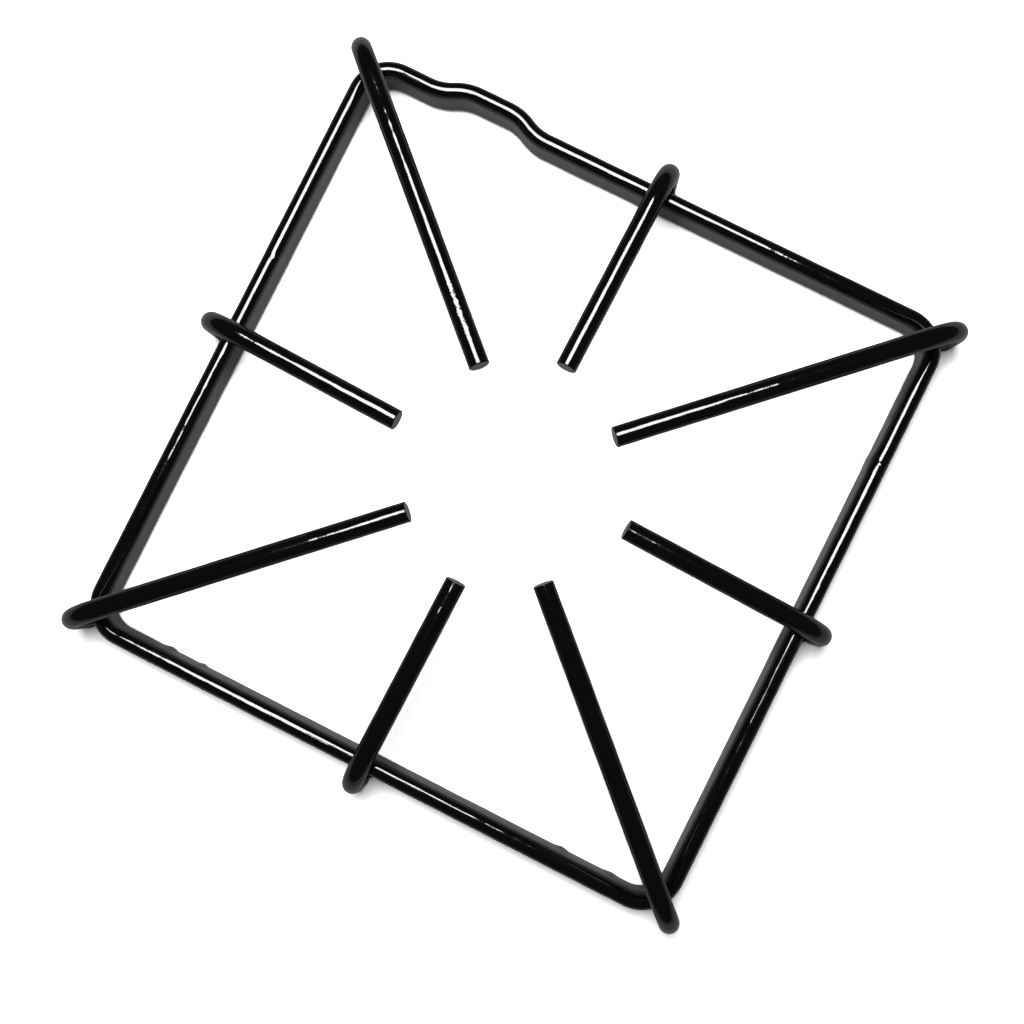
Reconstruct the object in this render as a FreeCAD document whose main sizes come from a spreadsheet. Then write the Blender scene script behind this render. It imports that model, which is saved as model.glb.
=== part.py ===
import FreeCAD, Part
import math
import os
import Sketcher

V = FreeCAD.Vector

# Hob pan support: a square ring of flat bar that stands on the hob, and eight round rods
# that cross above it. Each rod is bent down at its outer end into a leg, which is welded to
# the ring's outer face. Black vitreous enamel covers the finished weldment.
# Frame: +Z up, origin on the hob under the ring's centre, north (+Y) is the side with the wave.
doc = FreeCAD.newDocument("pan_support")

# Driving dimensions, in millimetres
SIZES = {
    # Overall size across the bent ends of opposite side fingers
    "overall_span": 222.25,
    # Top of the fingers above the hob
    "pan_height": 30.5,
    # Finger rod, and how it is bent and cut
    "rod_diameter": 6.7,
    "bend_radius": 13.0,
    "leg_lift": 1.0,
    "cut_edge_round": 0.6,
    # Ring bar on edge, and its corners
    "bar_width": 5.75,
    "bar_height": 14.3,
    "bar_edge_round": 2.5,
    "ring_corner_radius": 14.0,
    # Wave in the north side, measured from the north-west corner
    "wave_start": 23.2,
    "wave_ramp": 16.0,
    "wave_flat": 10.5,
    "wave_depth": 4.0,
    # Gap between leg and ring that the weld bridges
    "side_root_gap": 0.3,
    "corner_root_gap": 1.0,
    # Weld bead between leg and ring
    "weld_length": 8.0,
    "weld_throat_radius": 2.0,
    # How far the bead stops short of where its hollow sides would run out to nothing
    "weld_feather": 0.6,
    # Distance of each opposite pair's tips from the centre, and how far off it the pair is welded
    "north_south_tip_reach": 36.2,
    "north_south_shift": 0.3,
    "east_west_tip_reach": 38.2,
    "east_west_shift": 1.9,
    "northwest_southeast_tip_reach": 34.1,
    "northwest_southeast_shift": -2.4,
    "northeast_southwest_tip_reach": 33.0,
    "northeast_southwest_shift": 1.4,
}

# Angle by which each opposite pair of rods is welded off its true line, in degrees
SWINGS = {
    "north_south_swing": -1.05,
    "east_west_swing": -1.8,
    "northwest_southeast_swing": 1.85,
    "northeast_southwest_swing": -1.1,
}

sheet = doc.addObject("Spreadsheet::Sheet", "Sizes")
for row, (alias, value) in enumerate({**SIZES, **SWINGS}.items(), start=1):
    sheet.set(f"A{row}", alias)
    sheet.set(f"B{row}", str(value))
    sheet.setAlias(f"B{row}", alias)
doc.recompute()

# Expressions that several pieces share, so that what seats on another piece follows it
ROD_RADIUS = "Sizes.rod_diameter / 2"
RING_HALF = "(Sizes.overall_span / 2 - Sizes.rod_diameter - Sizes.side_root_gap)"
RING_LINE = f"({RING_HALF} - Sizes.bar_width / 2)"
CORNER_CENTRE = f"({RING_HALF} - Sizes.ring_corner_radius)"
FINGER_AXIS = f"(Sizes.pan_height - {ROD_RADIUS})"
CORNER_REACH = f"(Sizes.ring_corner_radius + Sizes.corner_root_gap + {ROD_RADIUS})"


def number(expression):
    """Value of an expression over the sheet's cells, in millimetres or degrees."""
    return float(sheet.evalExpression(expression))


def origin_plane(body, role):
    """One of the body's own origin planes, such as XY_Plane."""
    return next(item for item in body.Origin.OriginFeatures if item.Role == role)


def new_sketch(body, name, role):
    """Empty sketch on one of the body's origin planes."""
    sketch = body.newObject("Sketcher::SketchObject", name)
    sketch.AttachmentSupport = [(origin_plane(body, role), "")]
    sketch.MapMode = "FlatFace"
    return sketch


def bind(sketch, expression, *constraint):
    """Add a dimension to a sketch and drive it from the sheet."""
    value = number(expression)
    index = sketch.addConstraint(Sketcher.Constraint(*constraint, value))
    sketch.setExpression(f"Constraints[{index}]", expression)


def add_line(sketch, start, end):
    """Straight sketch edge; returns its index."""
    return sketch.addGeometry(Part.LineSegment(V(*start, 0), V(*end, 0)))


def add_arc(sketch, centre, radius, first, last):
    """Sketch arc that runs anticlockwise between two angles in degrees; returns its index."""
    circle = Part.Circle(V(*centre, 0), V(0, 0, 1), radius)
    arc = Part.ArcOfCircle(circle, math.radians(first), math.radians(last))
    return sketch.addGeometry(arc)


# Point positions within a sketch edge, as the sketcher counts them
START = 1
END = 2
CENTRE = 3
ORIGIN = -1


def draw_ring_line(sketch):
    """Centre line of the ring bar: a rounded square with a wave pushed out in its north side."""
    half = number(RING_LINE)
    radius = number("Sizes.ring_corner_radius - Sizes.bar_width / 2")
    inner = half - radius
    ramp = number("Sizes.wave_ramp")
    depth = number("Sizes.wave_depth")
    wave_west = number(f"Sizes.wave_start - {RING_HALF}")
    wave_east = wave_west + 2 * ramp + number("Sizes.wave_flat")
    # Two equal arcs of opposite turn make each ramp of the wave
    ramp_turn = 2 * math.degrees(math.atan(depth / ramp))
    ramp_radius = ramp / (2 * math.sin(math.radians(ramp_turn)))

    west_upper = add_line(sketch, (-half, 0), (-half, inner))
    corner_nw = add_arc(sketch, (-inner, inner), radius, 90, 180)
    north_west = add_line(sketch, (-inner, half), (wave_west, half))
    rise_in = add_arc(sketch, (wave_west, half + ramp_radius), ramp_radius, 270, 270 + ramp_turn)
    crest_y = half + depth
    rise_out = add_arc(sketch, (wave_west + ramp, crest_y - ramp_radius), ramp_radius, 90, 90 + ramp_turn)
    crest = add_line(sketch, (wave_west + ramp, crest_y), (wave_east - ramp, crest_y))
    fall_in = add_arc(sketch, (wave_east - ramp, crest_y - ramp_radius), ramp_radius, 90 - ramp_turn, 90)
    fall_out = add_arc(sketch, (wave_east, half + ramp_radius), ramp_radius, 270 - ramp_turn, 270)
    north_east = add_line(sketch, (wave_east, half), (inner, half))
    corner_ne = add_arc(sketch, (inner, inner), radius, 0, 90)
    east = add_line(sketch, (half, inner), (half, -inner))
    corner_se = add_arc(sketch, (inner, -inner), radius, 270, 360)
    south = add_line(sketch, (inner, -half), (-inner, -half))
    corner_sw = add_arc(sketch, (-inner, -inner), radius, 180, 270)
    west_lower = add_line(sketch, (-half, -inner), (-half, 0))

    # Edges in order round the ring; an arc drawn against the way of travel is entered at its end
    around = [(west_upper, START, END), (corner_nw, END, START), (north_west, START, END),
              (rise_in, START, END), (rise_out, END, START), (crest, START, END),
              (fall_in, END, START), (fall_out, START, END), (north_east, START, END),
              (corner_ne, END, START), (east, START, END), (corner_se, END, START),
              (south, START, END), (corner_sw, END, START), (west_lower, START, END)]
    for (edge, _, leave), (following, enter, _) in zip(around, around[1:]):
        sketch.addConstraint(Sketcher.Constraint("Tangent", edge, leave, following, enter))
    sketch.addConstraint(Sketcher.Constraint("Coincident", west_lower, END, west_upper, START))
    for edge in (north_west, crest, north_east, south):
        sketch.addConstraint(Sketcher.Constraint("Horizontal", edge))
    for edge in (west_upper, west_lower, east):
        sketch.addConstraint(Sketcher.Constraint("Vertical", edge))
    sketch.addConstraint(Sketcher.Constraint("PointOnObject", west_upper, START, ORIGIN))
    for edge in (corner_ne, corner_se, corner_sw):
        sketch.addConstraint(Sketcher.Constraint("Equal", corner_nw, edge))
    for edge in (rise_out, fall_in, fall_out):
        sketch.addConstraint(Sketcher.Constraint("Equal", rise_in, edge))

    corner_line = "Sizes.ring_corner_radius - Sizes.bar_width / 2"
    bind(sketch, corner_line, "Radius", corner_nw)
    bind(sketch, RING_LINE, "DistanceX", west_upper, START, ORIGIN, START)
    bind(sketch, RING_LINE, "DistanceX", ORIGIN, START, east, START)
    bind(sketch, RING_LINE, "DistanceY", south, START, ORIGIN, START)
    bind(sketch, RING_LINE, "DistanceY", ORIGIN, START, north_west, START)
    bind(sketch, RING_LINE, "DistanceY", ORIGIN, START, north_east, START)
    bind(sketch, f"{RING_HALF} - Sizes.wave_start", "DistanceX", north_west, END, ORIGIN, START)
    bind(sketch, "Sizes.wave_depth", "DistanceY", north_west, END, crest, START)
    bind(sketch, "Sizes.wave_ramp", "DistanceX", north_west, END, crest, START)
    bind(sketch, "Sizes.wave_flat", "DistanceX", crest, START, crest, END)


def draw_bar_section(sketch):
    """Upright flat-bar section with rounded edges, standing on the hob at the west side."""
    width = number("Sizes.bar_width")
    height = number("Sizes.bar_height")
    edge = number("Sizes.bar_edge_round")
    left = -number(RING_HALF)
    right = left + width

    bottom = add_line(sketch, (left + edge, 0), (right - edge, 0))
    low_right = add_arc(sketch, (right - edge, edge), edge, 270, 360)
    inner_face = add_line(sketch, (right, edge), (right, height - edge))
    high_right = add_arc(sketch, (right - edge, height - edge), edge, 0, 90)
    top = add_line(sketch, (right - edge, height), (left + edge, height))
    high_left = add_arc(sketch, (left + edge, height - edge), edge, 90, 180)
    outer_face = add_line(sketch, (left, height - edge), (left, edge))
    low_left = add_arc(sketch, (left + edge, edge), edge, 180, 270)

    around = [bottom, low_right, inner_face, high_right, top, high_left, outer_face, low_left]
    for edge_index, following in zip(around, around[1:] + around[:1]):
        sketch.addConstraint(Sketcher.Constraint("Tangent", edge_index, END, following, START))
    sketch.addConstraint(Sketcher.Constraint("Horizontal", bottom))
    sketch.addConstraint(Sketcher.Constraint("Vertical", inner_face))
    for corner in (high_right, high_left, low_left):
        sketch.addConstraint(Sketcher.Constraint("Equal", low_right, corner))
    sketch.addConstraint(Sketcher.Constraint("PointOnObject", bottom, START, ORIGIN))
    bind(sketch, "Sizes.bar_edge_round", "Radius", low_right)
    bind(sketch, "Sizes.bar_height", "DistanceY", bottom, START, top, START)
    bind(sketch, "Sizes.bar_width", "DistanceX", outer_face, START, inner_face, START)
    bind(sketch, RING_HALF, "DistanceX", outer_face, START, ORIGIN, START)


def make_ring():
    """Square ring of flat bar on edge, bent with its wave and closed into one loop."""
    body = doc.addObject("PartDesign::Body", "Ring")
    body.Label = "perimeter_ring"
    path = new_sketch(body, "RingLine", "XY_Plane")
    draw_ring_line(path)
    section = new_sketch(body, "BarSection", "XZ_Plane")
    draw_bar_section(section)
    pipe = body.newObject("PartDesign::AdditivePipe", "Bar")
    pipe.Profile = section
    pipe.Spine = path
    section.Visibility = False
    path.Visibility = False
    return body


def cut_edges(shape, tip, foot):
    """Names of the two round edges where the rod was cut: at its tip and at its leg's foot."""
    names = []
    for index, edge in enumerate(shape.Edges, start=1):
        box = edge.BoundBox
        at_tip = box.XLength < 0.001 and abs(box.XMin - tip) < 0.001
        at_foot = box.ZLength < 0.001 and abs(box.ZMin - foot) < 0.001
        if at_tip or at_foot:
            names.append(f"Edge{index}")
    return names


def make_finger(label, tip, reach, bearing, swing, shift):
    """Round rod from its cut tip out over the ring, bent down into its leg."""
    body = doc.addObject("PartDesign::Body", f"Finger_{label}")
    body.Label = label

    level = number(FINGER_AXIS)
    bend = number("Sizes.bend_radius")
    foot = number("Sizes.leg_lift")
    near = number(tip)
    far = number(reach)

    path = new_sketch(body, f"Path_{label}", "XZ_Plane")
    run = add_line(path, (near, level), (far - bend, level))
    turn = add_arc(path, (far - bend, level - bend), bend, 0, 90)
    leg = add_line(path, (far, level - bend), (far, foot))
    path.addConstraint(Sketcher.Constraint("Tangent", run, END, turn, END))
    path.addConstraint(Sketcher.Constraint("Tangent", turn, START, leg, START))
    path.addConstraint(Sketcher.Constraint("Horizontal", run))
    path.addConstraint(Sketcher.Constraint("Vertical", leg))
    bind(path, "Sizes.bend_radius", "Radius", turn)
    bind(path, FINGER_AXIS, "DistanceY", ORIGIN, START, run, START)
    bind(path, tip, "DistanceX", ORIGIN, START, run, START)
    bind(path, reach, "DistanceX", ORIGIN, START, leg, START)
    bind(path, "Sizes.leg_lift", "DistanceY", ORIGIN, START, leg, END)

    section = new_sketch(body, f"Section_{label}", "YZ_Plane")
    section.AttachmentOffset = FreeCAD.Placement(V(0, 0, near), FreeCAD.Rotation())
    section.setExpression("AttachmentOffset.Base.z", tip)
    rod = section.addGeometry(Part.Circle(V(0, level, 0), V(0, 0, 1), number(ROD_RADIUS)))
    section.addConstraint(Sketcher.Constraint("PointOnObject", rod, CENTRE, -2))
    bind(section, ROD_RADIUS, "Radius", rod)
    bind(section, FINGER_AXIS, "DistanceY", ORIGIN, START, rod, CENTRE)

    pipe = body.newObject("PartDesign::AdditivePipe", f"Rod_{label}")
    pipe.Profile = section
    pipe.Spine = path
    doc.recompute()

    ends = body.newObject("PartDesign::Fillet", f"CutEnds_{label}")
    ends.Base = (pipe, cut_edges(pipe.Shape, near, foot))
    ends.setExpression("Radius", "Sizes.cut_edge_round")

    angle = f"({bearing} + {swing}) * 1 deg"
    body.Placement = FreeCAD.Placement(V(), FreeCAD.Rotation(V(0, 0, 1), number(f"{bearing} + {swing}")))
    body.setExpression("Placement.Rotation.Angle", angle)
    body.setExpression("Placement.Base.x", f"-({shift}) * sin({angle})")
    body.setExpression("Placement.Base.y", f"({shift}) * cos({angle})")
    return body


def make_cylinder(name, radius, height):
    """Upright cylinder whose radius and height follow the sheet."""
    cylinder = doc.addObject("Part::Cylinder", name)
    cylinder.setExpression("Radius", radius)
    cylinder.setExpression("Height", height)
    return cylinder


def make_weld(label, gap, ring_radius, leg_x, leg_y, bearing):
    """Bead that fills the gap between leg and ring, with a hollow fillet on each side.

    It is built about the leg's centre with the ring towards -X. ring_radius is the radius of
    the ring's outer face at a corner, or empty on a straight side.
    """
    throat = "Sizes.weld_throat_radius"
    face = f"({ROD_RADIUS} + {gap})"

    # Each hollow side is a round that touches both the rod and the ring's face
    cutters = [make_cylinder(f"LegRoom_{label}", ROD_RADIUS, "Sizes.weld_length")]
    if ring_radius:
        span = f"({face} + {ring_radius})"
        scoop_in = (f"((({span})^2 + ({ROD_RADIUS} + {throat})^2 - ({ring_radius} + {throat})^2)"
                    f" / (2 * {span}))")
        room = make_cylinder(f"RingRoom_{label}", ring_radius, "Sizes.weld_length")
        room.setExpression("Placement.Base.x", f"-{span}")
        cutters.append(room)
    else:
        scoop_in = f"({face} - {throat})"
    scoop_out = f"sqrt(({ROD_RADIUS} + {throat})^2 - {scoop_in}^2)"
    for side, sign in (("Left", ""), ("Right", "-")):
        scoop = make_cylinder(f"{side}Scoop_{label}", throat, "Sizes.weld_length")
        scoop.setExpression("Placement.Base.x", f"-{scoop_in}")
        scoop.setExpression("Placement.Base.y", f"{sign}{scoop_out}")
        cutters.append(scoop)

    # The blank ends just short of where the rounds touch the ring and the rod
    touch_share = f"{ring_radius} / ({ring_radius} + {throat})" if ring_radius else "1"
    toe = f"({scoop_out} * {touch_share} - Sizes.weld_feather)"
    rise = f"({scoop_in} * {ROD_RADIUS} / ({ROD_RADIUS} + {throat}) + Sizes.weld_feather)"
    root = f"({face} + {gap})" if ring_radius else face
    blank = doc.addObject("Part::Box", f"Blank_{label}")
    blank.setExpression("Length", f"{root} - {rise}")
    blank.setExpression("Width", f"2 * {toe}")
    blank.setExpression("Height", "Sizes.weld_length")
    blank.setExpression("Placement.Base.x", f"-{root}")
    blank.setExpression("Placement.Base.y", f"-{toe}")

    hollow = doc.addObject("Part::MultiFuse", f"Hollow_{label}")
    hollow.Shapes = cutters
    weld = doc.addObject("Part::Cut", f"Weld_{label}")
    weld.Base = blank
    weld.Tool = hollow
    weld.Label = label
    weld.Placement = FreeCAD.Placement(V(), FreeCAD.Rotation(V(0, 0, 1), number(bearing)))
    weld.setExpression("Placement.Rotation.Angle", f"({bearing}) * 1 deg")
    weld.setExpression("Placement.Base.x", leg_x)
    weld.setExpression("Placement.Base.y", leg_y)
    weld.setExpression("Placement.Base.z", "(Sizes.bar_height - Sizes.weld_length) / 2")
    return weld


# Bearings in degrees anticlockwise from east, with the pair that each rod belongs to
SIDES = {"east": (0, "east_west"), "north": (90, "north_south"),
         "west": (180, "east_west"), "south": (270, "north_south")}
CORNERS = {"northeast": (45, "northeast_southwest"), "northwest": (135, "northwest_southeast"),
           "southwest": (225, "northeast_southwest"), "southeast": (315, "northwest_southeast")}

pieces = [make_ring()]

for place, (bearing, pair) in {**SIDES, **CORNERS}.items():
    swing = f"Sizes.{pair}_swing"
    shift = f"Sizes.{pair}_shift"
    tip = f"Sizes.{pair}_tip_reach"
    turn = f"({swing} * 1 deg)"
    if place in SIDES:
        kind = "side"
        gap, ring_radius = "Sizes.side_root_gap", ""
        # The leg's centre lies one rod radius inside the overall span
        reach = f"((Sizes.overall_span / 2 - {ROD_RADIUS} + {shift} * sin({turn})) / cos({turn}))"
        weld_bearing = f"{bearing}"
    else:
        kind = "corner"
        gap, ring_radius = "Sizes.corner_root_gap", "Sizes.ring_corner_radius"
        # The leg's centre lies on a circle about the centre of the ring's corner arc
        diagonal = f"({CORNER_CENTRE} * sqrt(2))"
        offset = f"({diagonal} * sin({turn}) + {shift})"
        reach = f"({diagonal} * cos({turn}) + sqrt({CORNER_REACH}^2 - {offset}^2))"
        weld_bearing = f"{bearing} + {swing} + asin({offset} / {CORNER_REACH}) / (1 deg)"
    heading = f"(({bearing} + {swing}) * 1 deg)"
    leg_x = f"{reach} * cos({heading}) - {shift} * sin({heading})"
    leg_y = f"{reach} * sin({heading}) + {shift} * cos({heading})"
    pieces.append(make_finger(f"{kind}_finger_{place}", tip, reach, bearing, swing, shift))
    pieces.append(make_weld(f"{kind}_weld_{place}", gap, ring_radius, leg_x, leg_y, weld_bearing))

doc.recompute()

# Every object has to be sound before anything is written
for item in doc.Objects:
    if "Invalid" in item.State or "Error" in item.State:
        raise RuntimeError(f"{item.Name} did not recompute: {item.State}")
for piece in pieces:
    if piece.Shape.isNull() or not piece.Shape.isValid() or len(piece.Shape.Solids) != 1:
        raise RuntimeError(f"{piece.Label} is not one sound solid")

os.makedirs("parts", exist_ok=True)
for piece in pieces:
    piece.Shape.exportStep(f"parts/{piece.Label}.step")
    print(piece.Label, round(piece.Shape.Volume, 1))
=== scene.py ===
import math

import bpy
from mathutils import Matrix, Vector


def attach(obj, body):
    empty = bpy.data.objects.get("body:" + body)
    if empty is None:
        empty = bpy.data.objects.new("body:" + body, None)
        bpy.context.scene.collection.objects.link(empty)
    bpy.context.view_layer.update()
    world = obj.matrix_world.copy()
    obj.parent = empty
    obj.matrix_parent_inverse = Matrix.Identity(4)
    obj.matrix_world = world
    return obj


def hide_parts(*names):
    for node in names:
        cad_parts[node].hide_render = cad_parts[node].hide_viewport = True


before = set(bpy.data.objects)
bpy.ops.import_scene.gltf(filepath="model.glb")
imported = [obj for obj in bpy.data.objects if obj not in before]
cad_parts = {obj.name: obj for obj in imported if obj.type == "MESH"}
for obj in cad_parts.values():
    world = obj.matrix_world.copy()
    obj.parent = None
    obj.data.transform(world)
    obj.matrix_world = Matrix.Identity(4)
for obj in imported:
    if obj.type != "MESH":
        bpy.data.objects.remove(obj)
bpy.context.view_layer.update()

# Camera: nearly straight down over the support, a touch off centre, turned so that the north
# side runs down to the right. 45 mm lens on a 36 mm square frame, as the photograph's.
LENS_MM, FRAME_MM = 45.0, 36.0
NEAREST_SEEN = 0.01
CAMERA_PLACE = (0.02496, -0.02048, 0.41644)
CAMERA_TURN = (("Z", 26.510), ("X", 2.648), ("Y", 1.897))
lens = bpy.data.cameras.new("camera")
lens.sensor_width = FRAME_MM
lens.lens = LENS_MM
lens.clip_start = NEAREST_SEEN
camera = bpy.data.objects.new("camera", lens)
bpy.context.scene.collection.objects.link(camera)
aim = Matrix.Translation(CAMERA_PLACE)
for axis, degrees in CAMERA_TURN:
    aim = aim @ Matrix.Rotation(math.radians(degrees), 4, axis)
camera.matrix_world = aim
bpy.context.scene.camera = camera
bpy.context.scene.view_settings.view_transform = "Standard"


# Studio: a white paper sweep under the support in a dim room, one soft box overhead to the
# north-west, whose long reflections run down the enamel, and the dark camera body below it,
# which shows in reflections only.
FLOOR_SIZE = 6.0
FLOOR_DROP = 0.0002
PAPER_IN_ROOM = 0.16
PAPER_ADDED_IN_VIEW = 2.10
PAPER_ADDED_IN_GLOSS = 0.06
PAPER_GLOW = 0.12
PAPER_GLOW_FAR = 0.90
PAPER_GLOW_IN_GLOSS = 0.06
PAPER_GLOW_RISE = (0.12, 0.36)


def flat_plate(name, corners):
    """A stage piece of one flat face, such as the floor."""
    mesh = bpy.data.meshes.new(name)
    mesh.from_pydata(corners, [], [(0, 1, 2, 3)])
    plate = bpy.data.objects.new(name, mesh)
    bpy.context.scene.collection.objects.link(plate)
    return plate


def join(tree, kind, settings=None, **inputs):
    """Adds a node to a tree; its inputs are given by socket name, as a value or a link."""
    node = tree.nodes.new(kind)
    for key, value in (settings or {}).items():
        setattr(node, key, value)
    for key, value in inputs.items():
        name = key.replace("_", " ")
        feed(tree, next(s for s in node.inputs if s.enabled and s.name == name), value)
    return node


def feed(tree, socket, value):
    """Links a socket to another one, or sets its number, colour or material."""
    if isinstance(value, bpy.types.NodeSocket):
        tree.links.new(value, socket)
    else:
        socket.default_value = value


def reckon(tree, operation, *values, kind="ShaderNodeMath"):
    """Math or Vector Math node over numbers, vectors or sockets; returns its result."""
    node = tree.nodes.new(kind)
    node.operation = operation
    for socket, value in zip(node.inputs, values):
        feed(tree, socket, value)
    return next(s for s in node.outputs if s.enabled)


def kinds_of_ray(tree):
    """Two sockets: 1 for rays from the camera, and 1 for rays off gloss or through glass."""
    rays = tree.nodes.new("ShaderNodeLightPath")
    mirrored = reckon(tree, "MAXIMUM", rays.outputs["Is Glossy Ray"],
                      rays.outputs["Is Transmission Ray"])
    return rays.outputs["Is Camera Ray"], mirrored


def level_by_ray(tree, kinds, plain, added_in_view, added_in_gloss):
    """A plain level, with what is added to it for each kind of ray."""
    from_camera, mirrored = kinds
    seen = reckon(tree, "MULTIPLY_ADD", from_camera, added_in_view, plain)
    return reckon(tree, "MULTIPLY_ADD", mirrored, added_in_gloss, seen)


edge = FLOOR_SIZE / 2
floor = flat_plate("floor", [(-edge, -edge, -FLOOR_DROP), (edge, -edge, -FLOOR_DROP),
                             (edge, edge, -FLOOR_DROP), (-edge, edge, -FLOOR_DROP)])

paper = bpy.data.materials.new("white_paper")
paper.use_nodes = True
sheet = paper.node_tree
sheet.nodes.clear()
paper_rays = kinds_of_ray(sheet)
white = level_by_ray(sheet, paper_rays, PAPER_IN_ROOM, PAPER_ADDED_IN_VIEW, PAPER_ADDED_IN_GLOSS)
matt = join(sheet, "ShaderNodeBsdfDiffuse", Color=white)
spot = sheet.nodes.new("ShaderNodeTexCoord")
reach = join(sheet, "ShaderNodeVectorMath", {"operation": "LENGTH"},
             Vector=spot.outputs["Object"])
away = join(sheet, "ShaderNodeMapRange", {"interpolation_type": "SMOOTHSTEP"},
            Value=reach.outputs["Value"],
            From_Min=PAPER_GLOW_RISE[0], From_Max=PAPER_GLOW_RISE[1])
glow_seen = reckon(sheet, "MULTIPLY", paper_rays[0],
                   reckon(sheet, "MULTIPLY_ADD", away.outputs[0],
                          PAPER_GLOW_FAR - PAPER_GLOW, PAPER_GLOW))
glow_mirrored = reckon(sheet, "MULTIPLY", paper_rays[1],
                       reckon(sheet, "MULTIPLY", away.outputs[0], PAPER_GLOW_IN_GLOSS))
glow = join(sheet, "ShaderNodeEmission", Strength=reckon(sheet, "ADD", glow_seen, glow_mirrored))
lit_sheet = join(sheet, "ShaderNodeAddShader")
feed(sheet, lit_sheet.inputs[0], matt.outputs[0])
feed(sheet, lit_sheet.inputs[1], glow.outputs[0])
join(sheet, "ShaderNodeOutputMaterial", Surface=lit_sheet.outputs[0])
floor.data.materials.append(paper)

ROOM_LIGHT = 0.016
ROOM_ADDED_IN_VIEW = 0.984
ROOM_ADDED_IN_GLOSS = 0.016
ROOM_WHITE = (1.0, 1.0, 1.0, 1.0)
room = bpy.data.worlds.new("room")
bpy.context.scene.world = room
room.use_nodes = True
walls = room.node_tree
walls.nodes.clear()
walls_light = level_by_ray(walls, kinds_of_ray(walls), ROOM_LIGHT, ROOM_ADDED_IN_VIEW,
                           ROOM_ADDED_IN_GLOSS)
walls_seen = join(walls, "ShaderNodeBackground", Color=ROOM_WHITE, Strength=walls_light)
join(walls, "ShaderNodeOutputWorld", Surface=walls_seen.outputs[0])

SOFT_BOX_PLACE = (-0.0965, 0.1245, 0.600)
SOFT_BOX_SIZE = (0.340, 0.387)
SOFT_BOX_POWER = 3.85
box_light = bpy.data.lights.new("soft_box", "AREA")
box_light.shape = "ELLIPSE"
box_light.size, box_light.size_y = SOFT_BOX_SIZE
box_light.energy = SOFT_BOX_POWER
soft_box = bpy.data.objects.new("soft_box", box_light)
bpy.context.scene.collection.objects.link(soft_box)
soft_box.location = SOFT_BOX_PLACE

CAMERA_BODY_LEFT, CAMERA_BODY_RIGHT = -0.090, 0.075
CAMERA_BODY_HALF_DEPTH = 0.055
CAMERA_BODY_LIFT = 0.012
SHELL_BLACK = (0.01, 0.01, 0.01, 1.0)
SHELL_ROUGHNESS = 0.8
camera_body = flat_plate("camera_body", [aim @ Vector((x, y, CAMERA_BODY_LIFT)) for x, y in (
    (CAMERA_BODY_LEFT, -CAMERA_BODY_HALF_DEPTH), (CAMERA_BODY_RIGHT, -CAMERA_BODY_HALF_DEPTH),
    (CAMERA_BODY_RIGHT, CAMERA_BODY_HALF_DEPTH), (CAMERA_BODY_LEFT, CAMERA_BODY_HALF_DEPTH))])
black_shell = bpy.data.materials.new("black_camera_shell")
black_shell.use_nodes = True
shell = black_shell.node_tree.nodes["Principled BSDF"]
shell.inputs["Base Color"].default_value = SHELL_BLACK
shell.inputs["Roughness"].default_value = SHELL_ROUGHNESS
camera_body.data.materials.append(black_shell)
camera_body.visible_camera = False
camera_body.visible_shadow = False
camera_body.visible_diffuse = False


# Perimeter ring: flat bar on edge with rounded edges, bent into a rounded square with an
# outward wave in its north side, its ends butt welded in the east side. Mild steel under two
# coats of black vitreous enamel, which swells over the weld and ran into a few low lumps.
OVERALL_SPAN = 0.22225
ROD_DIAMETER = 0.0067
SIDE_ROOT_GAP = 0.0003
BAR_WIDTH = 0.00575
BAR_HEIGHT = 0.0143
BAR_EDGE_ROUND = 0.0028
BAR_EDGE_STEPS = 7
RING_CORNER_RADIUS = 0.0140
RING_CORNER_STEPS = 24
RING_PITCH = 0.0006
WAVE_START = 0.0232
WAVE_RAMP = 0.0160
WAVE_FLAT = 0.0105
WAVE_DEPTH = 0.0040
ring_half = OVERALL_SPAN / 2 - ROD_DIAMETER - SIDE_ROOT_GAP
ring_line = ring_half - BAR_WIDTH / 2
ring_inner = ring_half - BAR_WIDTH

# The enamel. A grain is a noise's scale, finer as it rises, and depths are in metres. The coat
# keeps its full thickness where the slow noise reaches COAT_TOP.
ENAMEL_IOR = 1.55
GLAZE_ROUGHNESS = 0.04
CLOUD_GRAIN, CLOUD_DETAIL = 90.0, 3.0
DEEP_BLACK = (0.0006, 0.0006, 0.0007, 1.0)
PALE_BLACK = (0.0016, 0.0016, 0.0018, 1.0)
SHEEN_SPREAD = (0.05, 0.11)
PEEL_GRAIN, PEEL_DETAIL, PEEL_STRENGTH, PEEL_DEPTH = 420.0, 2.0, 0.7, 0.00004
SAG_GRAIN, SAG_DETAIL, SAG_STRENGTH, SAG_DEPTH = 130.0, 1.0, 1.0, 0.00019
PATCH_PLACE = (-0.0365, 0.0376, 0.0305)
PATCH_REACH = (0.006, 0.012)
PATCH_GRAIN, PATCH_DETAIL, PATCH_DEPTH = 800.0, 2.0, 0.00016
COAT_GRAIN_RING, COAT_UNEVEN_RING, COAT_SEED_RING = 95.0, 0.00022, 3.0
COAT_DETAIL = 1.0
COAT_TOP = 0.85


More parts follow.
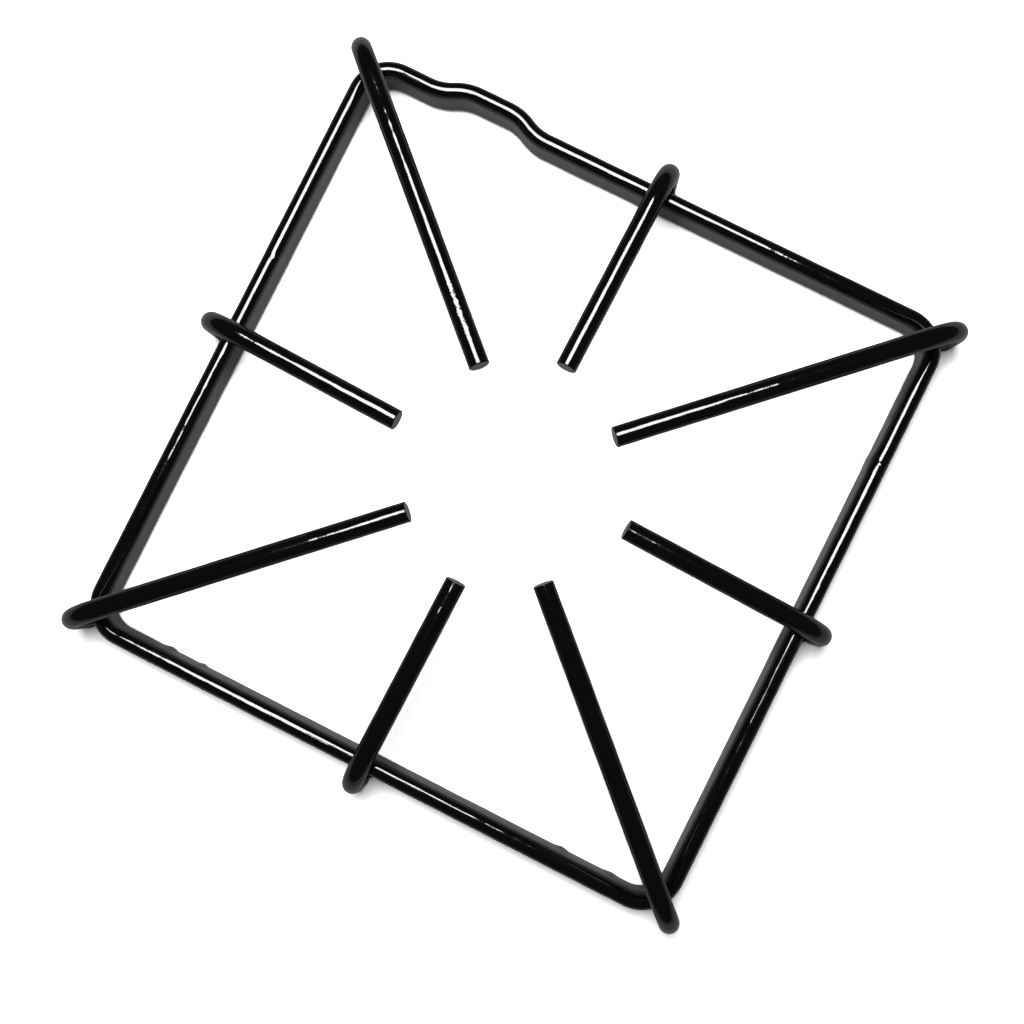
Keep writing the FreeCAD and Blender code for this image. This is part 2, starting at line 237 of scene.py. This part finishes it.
def make_enamel():
    """Black vitreous enamel: a glassy coat with orange peel, slow sags and one rough patch."""
    material = bpy.data.materials.new("black_vitreous_enamel")
    material.use_nodes = True
    tree = material.node_tree
    glaze = tree.nodes["Principled BSDF"]
    glaze.inputs["IOR"].default_value = ENAMEL_IOR
    glaze.inputs["Coat Weight"].default_value = 1.0
    glaze.inputs["Coat Roughness"].default_value = GLAZE_ROUGHNESS
    place = tree.nodes.new("ShaderNodeTexCoord").outputs["Object"]

    cloud = join(tree, "ShaderNodeTexNoise", Vector=place, Scale=CLOUD_GRAIN,
                 Detail=CLOUD_DETAIL)
    tint = join(tree, "ShaderNodeMix", {"data_type": "RGBA"}, Factor=cloud.outputs["Fac"],
                A=DEEP_BLACK, B=PALE_BLACK)
    feed(tree, glaze.inputs["Base Color"], tint.outputs["Result"])
    sheen = join(tree, "ShaderNodeMapRange", Value=cloud.outputs["Fac"],
                 To_Min=SHEEN_SPREAD[0], To_Max=SHEEN_SPREAD[1])
    feed(tree, glaze.inputs["Roughness"], sheen.outputs["Result"])

    def relief(grain, detail, strength, depth, **under):
        """Bump from a noise, laid over the normal that is given; returns the new normal."""
        noise = join(tree, "ShaderNodeTexNoise", Vector=place, Scale=grain, Detail=detail)
        return join(tree, "ShaderNodeBump", Strength=strength, Distance=depth,
                    Height=noise.outputs["Fac"], **under).outputs["Normal"]

    peel = relief(PEEL_GRAIN, PEEL_DETAIL, PEEL_STRENGTH, PEEL_DEPTH)
    sag = relief(SAG_GRAIN, SAG_DETAIL, SAG_STRENGTH, SAG_DEPTH, Normal=peel)
    off_patch = reckon(tree, "DISTANCE", place, PATCH_PLACE, kind="ShaderNodeVectorMath")
    touched = join(tree, "ShaderNodeMapRange", {"interpolation_type": "SMOOTHSTEP"},
                   Value=off_patch, From_Min=PATCH_REACH[0], From_Max=PATCH_REACH[1],
                   To_Min=1.0, To_Max=0.0)
    rough = relief(PATCH_GRAIN, PATCH_DETAIL, touched.outputs["Result"], PATCH_DEPTH, Normal=sag)
    feed(tree, glaze.inputs["Normal"], rough)
    feed(tree, glaze.inputs["Coat Normal"], rough)
    return material


enamel = make_enamel()


class Bench:
    """Geometry Nodes tree with named inputs, built step by step and turned into plain meshes."""

    def __init__(self, name):
        self.tree = bpy.data.node_groups.new(name, "GeometryNodeTree")
        for way in ("INPUT", "OUTPUT"):
            self.tree.interface.new_socket("Geometry", in_out=way,
                                           socket_type="NodeSocketGeometry")
        self.sockets = {}
        self.entry = self.tree.nodes.new("NodeGroupInput")
        self.exit = self.tree.nodes.new("NodeGroupOutput")

    def size(self, name):
        """Named input of the tree; returns the socket to link from."""
        made = self.tree.interface.new_socket(name, in_out="INPUT",
                                              socket_type="NodeSocketFloat")
        self.sockets[name] = made.identifier
        return self.entry.outputs[name]

    def step(self, kind, settings=None, **inputs):
        """Adds a node, with its inputs given by socket name; returns its first output."""
        return join(self.tree, kind, settings, **inputs).outputs[0]

    def line(self):
        """The points and edges that come in, as a curve."""
        return self.step("GeometryNodeMeshToCurve", Mesh=self.entry.outputs["Geometry"])

    def raised(self, mesh, distance):
        """Moves the surface along its own normals."""
        outward = self.step("ShaderNodeVectorMath", {"operation": "SCALE"},
                            Vector=self.step("GeometryNodeInputNormal"), Scale=distance)
        return self.step("GeometryNodeSetPosition", Geometry=mesh, Offset=outward)

    def uneven(self, mesh, depth, grain, seed):
        """Thins the surface by a slow noise up to a depth, as enamel that has run."""
        noise = self.step("ShaderNodeTexNoise", {"noise_dimensions": "4D"},
                          W=seed, Scale=grain, Detail=COAT_DETAIL)
        below_top = reckon(self.tree, "SUBTRACT", noise, COAT_TOP)
        return self.raised(mesh, reckon(self.tree, "MULTIPLY", below_top, depth))

    def lump(self, mesh, place, spread, height):
        """Raises a soft lump, or sinks a dent, with its own reach along X, Y and Z."""
        away = reckon(self.tree, "SUBTRACT", self.step("GeometryNodeInputPosition"), place,
                      kind="ShaderNodeVectorMath")
        scaled = reckon(self.tree, "DIVIDE", away, spread, kind="ShaderNodeVectorMath")
        far = reckon(self.tree, "LENGTH", scaled, kind="ShaderNodeVectorMath")
        rise = self.step("ShaderNodeMapRange", {"interpolation_type": "SMOOTHSTEP"},
                         Value=far, To_Min=height, To_Max=0.0)
        return self.raised(mesh, rise)

    def close(self, geometry, material):
        """Last steps of every tree: smooth faces, real geometry, one material."""
        smooth = self.step("GeometryNodeSetShadeSmooth", Geometry=geometry)
        real = self.step("GeometryNodeRealizeInstances", Geometry=smooth)
        dressed = self.step("GeometryNodeSetMaterial", Geometry=real, Material=material)
        self.tree.links.new(dressed, self.exit.inputs[0])

    def build(self, name, points, values, closed=True, radii=None, finish=None):
        """Runs the tree on a line of points and returns the finished plain object."""
        count = len(points)
        edges = [(i, (i + 1) % count) for i in range(count if closed else count - 1)]
        line = bpy.data.meshes.new(name)
        line.from_pydata(points, edges, [])
        if radii:
            turns = line.attributes.new("turn_radius", "FLOAT", "POINT")
            turns.data.foreach_set("value", radii)
        draft = bpy.data.objects.new(name + "_draft", line)
        bpy.context.scene.collection.objects.link(draft)
        modifier = draft.modifiers.new("sweep", "NODES")
        modifier.node_group = self.tree
        for key, value in values.items():
            modifier[self.sockets[key]] = value
        if finish:
            finish(draft)
        bpy.context.view_layer.update()
        graph = bpy.context.evaluated_depsgraph_get()
        mesh = bpy.data.meshes.new_from_object(draft.evaluated_get(graph))
        mesh.name = name
        draft.modifiers.clear()
        bpy.data.objects.remove(draft)
        piece = bpy.data.objects.new(name, mesh)
        bpy.context.scene.collection.objects.link(piece)
        return piece


bar_bench = Bench("bent_flat_bar")
bar_width = bar_bench.size("Bar Width")
bar_height = bar_bench.size("Bar Height")
edge_round = bar_bench.size("Edge Round")
bar_pitch = bar_bench.size("Section Pitch")
bar_uneven = bar_bench.size("Unevenness")
bar_seed = bar_bench.size("Seed")
turn = bar_bench.step("GeometryNodeInputNamedAttribute", {"data_type": "FLOAT"},
                      Name="turn_radius")
rounded = bar_bench.step("GeometryNodeFilletCurve", {"mode": "POLY"}, Curve=bar_bench.line(),
                         Count=RING_CORNER_STEPS, Radius=turn)
spaced = bar_bench.step("GeometryNodeResampleCurve", {"mode": "LENGTH"}, Curve=rounded,
                        Length=bar_pitch)
upright = bar_bench.step("GeometryNodeSetCurveNormal", {"mode": "Z_UP"}, Curve=spaced)
outline = bar_bench.step("GeometryNodeCurvePrimitiveQuadrilateral", Width=bar_width,
                         Height=bar_height)
eased = bar_bench.step("GeometryNodeFilletCurve", {"mode": "POLY"}, Curve=outline,
                       Count=BAR_EDGE_STEPS, Radius=edge_round)
bent_bar = bar_bench.step("GeometryNodeCurveToMesh", Curve=upright, Profile_Curve=eased)
coated = bar_bench.uneven(bent_bar, bar_uneven, COAT_GRAIN_RING, bar_seed)

# Each lump: its place, its reach along X, Y and Z, and how far it stands out. The first two and
# the last make the swelling over the butt weld. The third is farther north in the east side,
# four lie along the foot of the south side, and one is in the west side.
LUMPS = (
    ((ring_inner, 0.0560, 0.0075), (0.0035, 0.0052, 0.0085), 0.00055),
    ((ring_inner + 0.0006, 0.0522, 0.0118), (0.0022, 0.0018, 0.0030), 0.00030),
    ((ring_inner, 0.0712, 0.0100), (0.0020, 0.0016, 0.0030), 0.00035),
    ((-0.0750, -ring_inner, 0.0016), (0.0030, 0.0022, 0.0032), 0.00065),
    ((-0.0632, -ring_inner, 0.0018), (0.0016, 0.0020, 0.0024), 0.00045),
    ((0.0665, -ring_inner, 0.0016), (0.0030, 0.0022, 0.0030), 0.00050),
    ((0.0840, -ring_inner, 0.0016), (0.0034, 0.0022, 0.0030), 0.00040),
    ((-ring_inner - 0.0012, 0.0290, 0.0128), (0.0020, 0.0024, 0.0028), 0.00040),
    ((ring_line + 0.0005, 0.0548, BAR_HEIGHT), (0.0030, 0.0013, 0.0018), 0.00030))
for place, spread, stands_out in LUMPS:
    coated = bar_bench.lump(coated, place, spread, stands_out)
bar_bench.close(coated, enamel)

wave_turn = 2 * math.atan(WAVE_DEPTH / WAVE_RAMP)
wave_radius = WAVE_RAMP / (2 * math.sin(wave_turn))
wave_toe = wave_radius * math.tan(wave_turn / 2)
wave_west = WAVE_START - ring_half
wave_east = wave_west + 2 * WAVE_RAMP + WAVE_FLAT
crest_line = ring_line + WAVE_DEPTH
corner_turn = RING_CORNER_RADIUS - BAR_WIDTH / 2
ring_points = [
    (-ring_line, 0.0, 0.0), (-ring_line, ring_line, corner_turn),
    (wave_west + wave_toe, ring_line, wave_radius),
    (wave_west + WAVE_RAMP - wave_toe, crest_line, wave_radius),
    (wave_east - WAVE_RAMP + wave_toe, crest_line, wave_radius),
    (wave_east - wave_toe, ring_line, wave_radius),
    (ring_line, ring_line, corner_turn), (ring_line, -ring_line, corner_turn),
    (-ring_line, -ring_line, corner_turn)]
ring = bar_bench.build(
    "ring_bar", [(x, y, BAR_HEIGHT / 2) for x, y, _ in ring_points],
    {"Bar Width": BAR_WIDTH, "Bar Height": BAR_HEIGHT, "Edge Round": BAR_EDGE_ROUND,
     "Section Pitch": RING_PITCH, "Unevenness": COAT_UNEVEN_RING, "Seed": COAT_SEED_RING},
    radii=[radius for _, _, radius in ring_points])
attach(ring, "root")
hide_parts("perimeter_ring")


# Fingers: eight round rods sheared to length, bent down at the outer end into a leg. The shear
# leaves the cut a little slanted. Each of the four pairs was welded a little turned and shifted
# off its true line, then enamelled with the ring.
PAN_HEIGHT = 0.0305
BEND_RADIUS = 0.0130
BEND_STEPS = 28
LEG_LIFT = 0.0010
CORNER_ROOT_GAP = 0.0010
ROUND_STEPS = 56
ROD_PITCH = 0.0012
CUT_EDGE_ROUND = 0.0004
CUT_EDGE_STEPS = 4
CUT_EDGE_ANGLE = 60
CUT_SLANT = 0.0008
CUT_SLANT_FADES = 0.0035
COAT_GRAIN_ROD, COAT_UNEVEN_ROD, COAT_SEED_ROD = 110.0, 0.00016, 11.0
MM_PER_M = 1000
rod_radius = ROD_DIAMETER / 2
rod_level = PAN_HEIGHT - rod_radius

rod_bench = Bench("bent_rod")
rod_radius_in = rod_bench.size("Rod Radius")
bend_radius_in = rod_bench.size("Bend Radius")
rod_pitch = rod_bench.size("Section Pitch")
rod_uneven = rod_bench.size("Unevenness")
rod_seed = rod_bench.size("Seed")
bent_line = rod_bench.step("GeometryNodeFilletCurve", {"mode": "POLY"}, Curve=rod_bench.line(),
                           Count=BEND_STEPS, Radius=bend_radius_in)
rod_line = rod_bench.step("GeometryNodeResampleCurve", {"mode": "LENGTH"}, Curve=bent_line,
                          Length=rod_pitch)
rod_round = rod_bench.step("GeometryNodeCurvePrimitiveCircle", Resolution=ROUND_STEPS,
                           Radius=rod_radius_in)
bent_rod = rod_bench.step("GeometryNodeCurveToMesh", Curve=rod_line, Profile_Curve=rod_round,
                          Fill_Caps=True)
rod_coated = rod_bench.uneven(bent_rod, rod_uneven, COAT_GRAIN_ROD, rod_seed)

# Shallow dents in the coat of the north-west finger: place, reach and depth.
DENTS = (
    ((-0.0323, 0.0330, 0.0304), 0.0020, 0.00010),
    ((-0.0345, 0.0364, 0.0304), 0.0016, 0.00012),
    ((-0.0383, 0.0385, 0.0304), 0.0021, 0.00011),
    ((-0.0410, 0.0420, 0.0304), 0.0017, 0.00009))
for place, spread, dent_depth in DENTS:
    rod_coated = rod_bench.lump(rod_coated, place, (spread, spread, spread), -dent_depth)
rod_bench.close(rod_coated, enamel)

# Each finger: the bearing of its line and how far it is turned off that, in degrees, then how
# far it is shifted aside and how far its tip stops from the ring's centre, in millimetres.
FINGERS = {
    "side_finger_east": (0, -1.8, 1.9, 38.2),
    "side_finger_north": (90, -1.05, 0.3, 36.2),
    "side_finger_west": (180, -1.8, 1.9, 38.2),
    "side_finger_south": (270, -1.05, 0.3, 36.2),
    "corner_finger_northeast": (45, -1.1, 1.4, 33.0),
    "corner_finger_northwest": (135, 1.85, -2.4, 34.1),
    "corner_finger_southwest": (225, -1.1, 1.4, 33.0),
    "corner_finger_southeast": (315, 1.85, -2.4, 34.1)}


def finger_reach(node, swing, shift):
    """How far along its line a finger runs out to its leg, which clears the ring's face."""
    if node.startswith("side"):
        outer = OVERALL_SPAN / 2 - rod_radius
        return (outer + shift * math.sin(swing)) / math.cos(swing)
    diagonal = (ring_half - RING_CORNER_RADIUS) * math.sqrt(2)
    arm = RING_CORNER_RADIUS + CORNER_ROOT_GAP + rod_radius
    off = diagonal * math.sin(swing) + shift
    return diagonal * math.cos(swing) + math.sqrt(arm * arm - off * off)


def ease_cut_ends(draft):
    """Rounds the sharp rims of the two sheared ends."""
    rounding = draft.modifiers.new("cut_edges", "BEVEL")
    rounding.width = CUT_EDGE_ROUND
    rounding.segments = CUT_EDGE_STEPS
    rounding.limit_method = "ANGLE"
    rounding.angle_limit = math.radians(CUT_EDGE_ANGLE)


def slant_cut(finger, tip, back):
    """Draws the upper part of the tip back, so that the cut end faces up a little."""
    for vertex in finger.data.vertices:
        behind_tip = (vertex.co - tip).dot(back)
        if behind_tip < CUT_SLANT_FADES:
            height_share = (vertex.co.z - rod_level + rod_radius) / ROD_DIAMETER
            vertex.co += back * CUT_SLANT * height_share * (1 - behind_tip / CUT_SLANT_FADES)


legs = {}
for order, (node, (bearing, swing_degrees, shift_mm, tip_mm)) in enumerate(FINGERS.items()):
    swing = math.radians(swing_degrees)
    shift = shift_mm / MM_PER_M
    out_to_leg = finger_reach(node, swing, shift)
    heading = Matrix.Rotation(math.radians(bearing) + swing, 4, "Z")
    route = [(tip_mm / MM_PER_M, rod_level), (out_to_leg, rod_level), (out_to_leg, LEG_LIFT)]
    tip, bend, foot = [heading @ Vector((along, shift, z)) for along, z in route]
    legs[node] = Vector((bend.x, bend.y))
    finger = rod_bench.build(
        node + "_rod", [tip, bend, foot],
        {"Rod Radius": rod_radius, "Bend Radius": BEND_RADIUS, "Section Pitch": ROD_PITCH,
         "Unevenness": COAT_UNEVEN_ROD, "Seed": COAT_SEED_ROD + order},
        closed=False, finish=ease_cut_ends)
    slant_cut(finger, tip, (bend - tip).normalized())
    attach(finger, "root")
    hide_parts(node)


# Weld beads: one column of fused ripples fills the gap between each leg and the ring's outer
# face, eight in all. Laid downhand with a hand torch, so no two ripples are alike, then enamelled.
WELD_LENGTH = 0.0080
WELD_STATIONS = 97
WELD_THROAT_RADIUS = 0.0020
WELD_HOLLOW_SHARE = 0.45
WELD_FACE_STEPS = 6
WELD_FOOT = 0.0004
WELD_BITE = 0.0006
WELD_END = 0.0012
WELD_END_TAPER = 0.75
WELD_SEED = 31.0
RIPPLE_PITCH = 0.0013
RIPPLE_DEPTH = 0.026
RIPPLE_WANDER_GRAIN = 420.0
STRAIGHT_SIDE_RADIUS = 1000.0
OUTWARD = {"east": (1, 0), "north": (0, 1), "west": (-1, 0), "south": (0, -1)}

weld_bench = Bench("rippled_weld")
bead_length = weld_bench.size("Bead Length")
ripple_pitch = weld_bench.size("Ripple Pitch")
ripple_depth = weld_bench.size("Ripple Depth")
end_length = weld_bench.size("End Length")
weld_seed = weld_bench.size("Seed")
weld_tree = weld_bench.tree

seam = weld_bench.step("GeometryNodeCurvePrimitiveLine",
                       End=weld_bench.step("ShaderNodeCombineXYZ", Z=bead_length))
stations = weld_bench.step("GeometryNodeResampleCurve", {"mode": "COUNT"}, Curve=seam,
                           Count=WELD_STATIONS)
steady = weld_bench.step("GeometryNodeSetCurveNormal", {"mode": "FREE"}, Curve=stations,
                         Normal=(1.0, 0.0, 0.0))
here = join(weld_tree, "ShaderNodeSeparateXYZ",
            Vector=weld_bench.step("GeometryNodeInputPosition"))
up_seam = here.outputs["Z"]
wander = weld_bench.step("ShaderNodeTexNoise", {"noise_dimensions": "4D"}, W=weld_seed,
                         Scale=RIPPLE_WANDER_GRAIN, Detail=0.0)
phase = reckon(weld_tree, "ADD", reckon(weld_tree, "DIVIDE", up_seam, ripple_pitch), wander)
half_wave = reckon(weld_tree, "SINE", reckon(weld_tree, "MULTIPLY", phase, math.pi))
below_crest = reckon(weld_tree, "SUBTRACT", reckon(weld_tree, "ABSOLUTE", half_wave), 1.0)
ripple = reckon(weld_tree, "MULTIPLY_ADD", below_crest, ripple_depth, 1.0)
to_top = reckon(weld_tree, "SUBTRACT", bead_length, up_seam)
to_end = reckon(weld_tree, "DIVIDE", reckon(weld_tree, "MINIMUM", up_seam, to_top), end_length)
near_end = reckon(weld_tree, "SUBTRACT", 1.0, reckon(weld_tree, "MINIMUM", to_end, 1.0))
taper = reckon(weld_tree, "MULTIPLY", reckon(weld_tree, "MULTIPLY", near_end, near_end),
               WELD_END_TAPER)
dome = reckon(weld_tree, "SQRT", reckon(weld_tree, "SUBTRACT", 1.0, taper))
bead = weld_bench.step("GeometryNodeCurveToMesh", Curve=steady, Profile_Curve=weld_bench.line(),
                       Scale=reckon(weld_tree, "MULTIPLY", ripple, dome), Fill_Caps=True)
weld_bench.close(bead, enamel)


def bead_section(bend, gap):
    """Outline of a bead between the ring, of that bend radius, and a leg across the gap.

    Its two hollow sides touch both. A straight side is taken as a very wide bend.
    """
    to_leg = gap + rod_radius
    long_arm = bend + WELD_THROAT_RADIUS
    short_arm = rod_radius + WELD_THROAT_RADIUS
    span = bend + to_leg
    lift = (long_arm ** 2 - short_arm ** 2 + span ** 2) / (2 * span)
    aside = math.sqrt(long_arm ** 2 - lift ** 2)
    hollow = Vector((aside, lift - bend))
    ring_toe = Vector((aside * bend / long_arm, lift * bend / long_arm - bend))
    leg_centre = Vector((0.0, to_leg))
    leg_toe = leg_centre + (hollow - leg_centre) * (rod_radius / short_arm)
    right = [ring_toe + Vector((-WELD_FOOT, -WELD_BITE)), ring_toe]
    for step in range(1, WELD_FACE_STEPS):
        chord = ring_toe.lerp(leg_toe, step / WELD_FACE_STEPS)
        throat = hollow + (chord - hollow).normalized() * WELD_THROAT_RADIUS
        right.append(throat.lerp(chord, WELD_HOLLOW_SHARE))
    right += [leg_toe, leg_toe + (leg_centre - leg_toe).normalized() * WELD_BITE]
    left = [Vector((-p.x, p.y)) for p in reversed(right)]
    middle = Vector((0.0, gap / 2))
    return [(*(p - middle), 0.0) for p in right + left]


for order, (node, leg) in enumerate(legs.items()):
    kind, _, side = node.split("_")
    if kind == "side":
        outward = Vector(OUTWARD[side])
        gap, bend = SIDE_ROOT_GAP, STRAIGHT_SIDE_RADIUS
    else:
        turned_at = Vector((math.copysign(ring_half - RING_CORNER_RADIUS, leg.x),
                            math.copysign(ring_half - RING_CORNER_RADIUS, leg.y)))
        outward = (leg - turned_at).normalized()
        gap, bend = CORNER_ROOT_GAP, RING_CORNER_RADIUS
    bead_name = node.replace("finger", "weld")
    beads = weld_bench.build(
        bead_name + "_bead", bead_section(bend, gap),
        {"Bead Length": WELD_LENGTH, "Ripple Pitch": RIPPLE_PITCH, "Ripple Depth": RIPPLE_DEPTH,
         "End Length": WELD_END, "Seed": WELD_SEED + order})
    across = Vector((-outward.y, outward.x))
    seat = leg - outward * (gap + rod_radius - gap / 2)
    turn_in = Matrix(((across.x, outward.x, 0, seat.x), (across.y, outward.y, 0, seat.y),
                      (0, 0, 1, (BAR_HEIGHT - WELD_LENGTH) / 2), (0, 0, 0, 1)))
    beads.data.transform(turn_in)
    if turn_in.to_3x3().determinant() < 0:
        beads.data.flip_normals()
    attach(beads, "root")
    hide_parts(bead_name)

# The solids under the pieces wear the same enamel.
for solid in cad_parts.values():
    solid.data.materials.clear()
    solid.data.materials.append(enamel)
